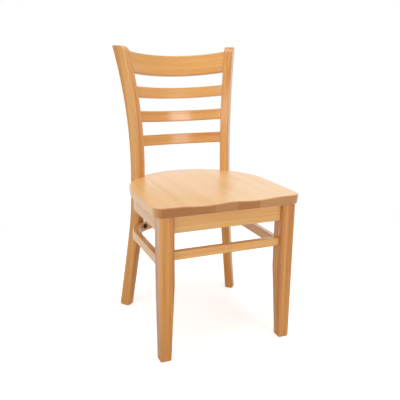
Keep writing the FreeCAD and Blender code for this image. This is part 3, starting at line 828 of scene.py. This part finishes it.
class CHAIR_OT_rear_posts(bpy.types.Operator):
    """Make both rear posts, each leg and back post in one board"""
    bl_idname = "chair.rear_posts"
    bl_label = "Rear posts"

    def execute(self, context):
        scene = context.scene
        wood = wood_of(scene, "sawn beech, satin lacquer")
        make_pair("rear_post", post_rings(scene.chair_posts, scene.chair_legs.chamfer), wood)
        return {"FINISHED"}


class CHAIR_OT_front_legs(bpy.types.Operator):
    """Make both front legs, square above and tapered below"""
    bl_idname = "chair.front_legs"
    bl_label = "Front legs"

    def execute(self, context):
        scene = context.scene
        wood = wood_of(scene, "sawn beech, satin lacquer")
        top = scene.chair_seat.height - scene.chair_seat.thickness
        make_pair("front_leg", leg_rings(scene.chair_legs, top), wood)
        return {"FINISHED"}


class CHAIR_OT_back_rails(bpy.types.Operator):
    """Make the three bowed slats and the crest rail"""
    bl_idname = "chair.back_rails"
    bl_label = "Slats and crest"

    def execute(self, context):
        scene = context.scene
        back, post = scene.chair_back, scene.chair_posts
        wood = wood_of(scene, "bent beech, satin lacquer")
        slats = [("back_slat_lower", back.lower_tilt), ("back_slat_middle", back.middle_tilt),
                 ("back_slat_upper", back.upper_tilt)]
        low = back.lowest
        for node, tilt in slats:
            make_piece(node, back_rings(post, low, back.slat_height, back.slat_thickness, tilt,
                                        back.slat_edge, back.setback), wood)
            low += back.slat_height + back.slat_gap
        low += back.crest_gap - back.slat_gap
        make_piece("crest_rail", back_rings(post, low, back.crest_height, back.crest_thickness,
                                            back.crest_tilt, back.crest_edge, back.setback), wood)
        return {"FINISHED"}


class CHAIR_OT_seat(bpy.types.Operator):
    """Make the saddled seat"""
    bl_idname = "chair.seat"
    bl_label = "Seat"

    def execute(self, context):
        scene = context.scene
        finish = scene.chair_finish
        tones = (finish.stave, finish.pale, finish.warm)
        wood = lacquered_beech("glued beech staves, satin lacquer", finish, tones, seat_contrast, seat_gloss,
                               staves=True)
        shape, end = seat_rings(scene.chair_seat)
        make_piece("seat", shape, wood, end)
        return {"FINISHED"}


class CHAIR_OT_straight_rails(bpy.types.Operator):
    """Make the front apron and the front stretcher"""
    bl_idname = "chair.straight_rails"
    bl_label = "Front apron and stretcher"

    def execute(self, context):
        scene = context.scene
        rails, leg, seat = scene.chair_rails, scene.chair_legs, scene.chair_seat
        wood = wood_of(scene, "sawn beech, satin lacquer")
        half = leg.span / 2 - leg.size + leg_bury
        apron_low = seat.height - seat.thickness - rails.apron_height
        make_piece("front_apron", bar_rings(half, rails.apron_recess, rails.apron_thickness, apron_low,
                                            rails.apron_height, rails.edge), wood)
        bar_low = rails.bar_top - rails.bar_height
        make_piece("front_stretcher", bar_rings(half, rails.bar_recess, rails.bar_thickness, bar_low,
                                                rails.bar_height, rails.edge), wood)
        return {"FINISHED"}


class CHAIR_OT_bent_rails(bpy.types.Operator):
    """Make the bent seat rail and the bent stretcher"""
    bl_idname = "chair.bent_rails"
    bl_label = "Bent seat rail and stretcher"

    def execute(self, context):
        scene = context.scene
        rails, post, seat = scene.chair_rails, scene.chair_posts, scene.chair_seat
        wood = wood_of(scene, "bent beech, satin lacquer")
        front = scene.chair_legs.size - leg_bury
        rail_low = seat.height - seat.thickness - rails.seat_height
        make_piece("bent_seat_rail", bent_rings(post, rails.seat_span / 2, rails.seat_thickness, rail_low,
                                                rails.seat_height, rails.seat_edge, front), wood)
        hoop_low = rails.hoop_top - rails.hoop_height
        make_piece("bent_stretcher", bent_rings(post, rails.hoop_span / 2, rails.hoop_thickness, hoop_low,
                                                rails.hoop_height, rails.hoop_edge, front), wood)
        return {"FINISHED"}


class CHAIR_OT_hidden_parts(bpy.types.Operator):
    """Finish the blocks and screws, which are the solids themselves"""
    bl_idname = "chair.hidden_parts"
    bl_label = "Blocks and screws"

    def execute(self, context):
        finish = context.scene.chair_finish
        blocks = bare_beech("planed beech, bare", finish)
        screws = zinc_plate(finish)
        broad_screws = blackened_steel(finish)
        for node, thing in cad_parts.items():
            if "block" not in node and "screws" not in node:
                continue
            metal = broad_screws if node == "stretcher_screws" else screws
            thing.data.materials.clear()
            thing.data.materials.append(metal if "screws" in node else blocks)
        return {"FINISHED"}


class CHAIR_OT_stage(bpy.types.Operator):
    """Set up the floor, the studio light and the camera"""
    bl_idname = "chair.stage"
    bl_label = "Stage"

    def execute(self, context):
        scene = context.scene
        make_floor(scene)
        make_world(scene)
        make_lights(scene)
        make_camera(scene)
        scene.view_settings.view_transform = "Standard"
        return {"FINISHED"}


# Stage

# The camera's place and direction follow from the photograph's straight lines
camera_place = (-0.6226, -1.2641, 0.8426)
camera_yaw = math.radians(22.734)
camera_pitch = math.radians(15.317)
camera_roll = math.radians(0.568)
camera_focus = 532.3
image_width = 400
sensor_width = 36.0

# The floor: half its side, its own light toward the camera, and where it turns into the backdrop
floor_half = 6.0
floor_glow = 0.5
fade_from, fade_to = 0.5, 1.3

# How strong the white surroundings are as light
soft_white = 0.45

# Soft boxes: name, place, width and height in metres, and power in watts
lamps = [
    ("overhead", (0.0, -0.4, 2.6), 1.8, 1.8, 22.0),
    ("left", (-2.4, -1.1, 1.2), 2.0, 1.2, 20.0),
    ("right front", (0.70, -2.15, 1.10), 1.5, 0.62, 13.5),
    ("behind", (1.1, 2.6, 1.6), 3.0, 1.6, 4.0),
]
lamp_target = (0.0, 0.0, 0.45)


def make_camera(scene):
    """Camera looking along its yaw, down by its pitch and rolled about its view."""
    data = bpy.data.cameras.new("camera")
    data.sensor_width = sensor_width
    data.lens = camera_focus * sensor_width / image_width
    camera = bpy.data.objects.new("camera", data)
    scene.collection.objects.link(camera)
    view = Vector((math.sin(camera_yaw) * math.cos(camera_pitch),
                   math.cos(camera_yaw) * math.cos(camera_pitch), -math.sin(camera_pitch)))
    right = Vector((math.cos(camera_yaw), -math.sin(camera_yaw), 0.0))
    up = right.cross(view)
    turned_right = right * math.cos(camera_roll) + up * math.sin(camera_roll)
    turned_up = up * math.cos(camera_roll) - right * math.sin(camera_roll)
    rotation = Matrix((turned_right, turned_up, -view)).transposed()
    x, y, z = camera_place
    camera.matrix_world = Matrix.Translation((x, y + leg_front, z)) @ rotation.to_4x4()
    scene.camera = camera


def shown_rays(tree):
    """Whether a ray comes from the camera, and whether it comes from the camera, from a reflection
    or through a clear piece."""
    path = add_node(tree, "LightPath").outputs
    shown = add_node(tree, "Math", {0: path["Is Camera Ray"], 1: path["Is Glossy Ray"]}, operation="MAXIMUM")
    shown = add_node(tree, "Math", {0: shown, 1: path["Is Transmission Ray"]}, operation="MAXIMUM")
    return path["Is Camera Ray"], shown


def make_floor(scene):
    """Pale floor that keeps the soft shadow near the chair. A little light of its own toward the
    camera takes the lit part to white, and farther out the floor turns into the white backdrop."""
    corners = [(-floor_half, -floor_half, 0.0), (floor_half, -floor_half, 0.0),
               (floor_half, floor_half, 0.0), (-floor_half, floor_half, 0.0)]
    mesh = bpy.data.meshes.new("floor")
    mesh.from_pydata(corners, [], [(0, 1, 2, 3)])
    material, tree = new_material("studio floor, matt paper")
    seen, shown = shown_rays(tree)
    matt = add_node(tree, "BsdfDiffuse", {0: (*scene.chair_finish.floor, 1.0)})
    glow = add_node(tree, "Math", {0: seen, 1: floor_glow}, operation="MULTIPLY")
    own = add_node(tree, "Emission", {1: glow})
    both = add_node(tree, "AddShader", {0: matt, 1: own})
    place = add_node(tree, "TexCoord").outputs["Object"]
    away = add_node(tree, "VectorMath", {0: place}, operation="LENGTH").outputs["Value"]
    faded = add_node(tree, "MapRange", {0: away, 1: fade_from, 2: fade_to}, interpolation_type="SMOOTHSTEP")
    far = add_node(tree, "Math", {0: faded, 1: shown}, operation="MULTIPLY")
    white = add_node(tree, "Emission", {1: 1.0})
    whole = add_node(tree, "MixShader", {0: far, 1: both, 2: white})
    add_node(tree, "OutputMaterial", {0: whole})
    mesh.materials.append(material)
    floor = bpy.data.objects.new("floor", mesh)
    scene.collection.objects.link(floor)


def make_world(scene):
    """White surroundings to the camera and in reflections, and a softer white as light."""
    world = bpy.data.worlds.new("studio")
    scene.world = world
    world.use_nodes = True
    tree = world.node_tree
    tree.nodes.clear()
    shown = shown_rays(tree)[1]
    strength = add_node(tree, "Math", {0: shown, 1: 1 - soft_white, 2: soft_white}, operation="MULTIPLY_ADD")
    white = add_node(tree, "Background", {0: (1.0, 1.0, 1.0, 1.0), 1: strength})
    add_node(tree, "OutputWorld", {0: white})


def make_lights(scene):
    """A broad lamp overhead, one at the left, a low wide one at the right front, whose reflection
    lies across the slats, and one behind, which the seat reflects."""
    for name, place, width, height, power in lamps:
        data = bpy.data.lights.new(name, "AREA")
        data.shape = "ELLIPSE"
        data.size = width
        data.size_y = height
        data.energy = power
        lamp = bpy.data.objects.new(name, data)
        lamp.visible_camera = False
        scene.collection.objects.link(lamp)
        away = Vector(place) - Vector(lamp_target)
        turn = away.to_track_quat("Z", "Y").to_matrix().to_4x4()
        lamp.matrix_world = Matrix.Translation(place) @ turn


class CHAIR_PT_panel(bpy.types.Panel):
    """Lists the chair's operators"""
    bl_idname = "CHAIR_PT_panel"
    bl_label = "Ladderback chair"
    bl_space_type = "VIEW_3D"
    bl_region_type = "UI"
    bl_category = "Chair"

    def draw(self, context):
        for operator in operators:
            self.layout.operator(operator.bl_idname)


groups = {
    "chair_seat": SeatSizes,
    "chair_legs": LegSizes,
    "chair_posts": PostSizes,
    "chair_rails": RailSizes,
    "chair_back": BackSizes,
    "chair_finish": BeechFinish,
}
operators = [
    CHAIR_OT_rear_posts,
    CHAIR_OT_front_legs,
    CHAIR_OT_back_rails,
    CHAIR_OT_seat,
    CHAIR_OT_straight_rails,
    CHAIR_OT_bent_rails,
    CHAIR_OT_hidden_parts,
    CHAIR_OT_stage,
]


def register():
    for name, group in groups.items():
        bpy.utils.register_class(group)
        setattr(bpy.types.Scene, name, PointerProperty(type=group))
    for operator in operators:
        bpy.utils.register_class(operator)
    bpy.utils.register_class(CHAIR_PT_panel)


def unregister():
    bpy.utils.unregister_class(CHAIR_PT_panel)
    for operator in reversed(operators):
        bpy.utils.unregister_class(operator)
    for name, group in groups.items():
        delattr(bpy.types.Scene, name)
        bpy.utils.unregister_class(group)


def main():
    register()
    bpy.ops.chair.rear_posts()
    bpy.ops.chair.front_legs()
    bpy.ops.chair.back_rails()
    bpy.ops.chair.seat()
    bpy.ops.chair.straight_rails()
    bpy.ops.chair.bent_rails()
    bpy.ops.chair.hidden_parts()
    bpy.ops.chair.stage()


if __name__ == "__main__":
    main()
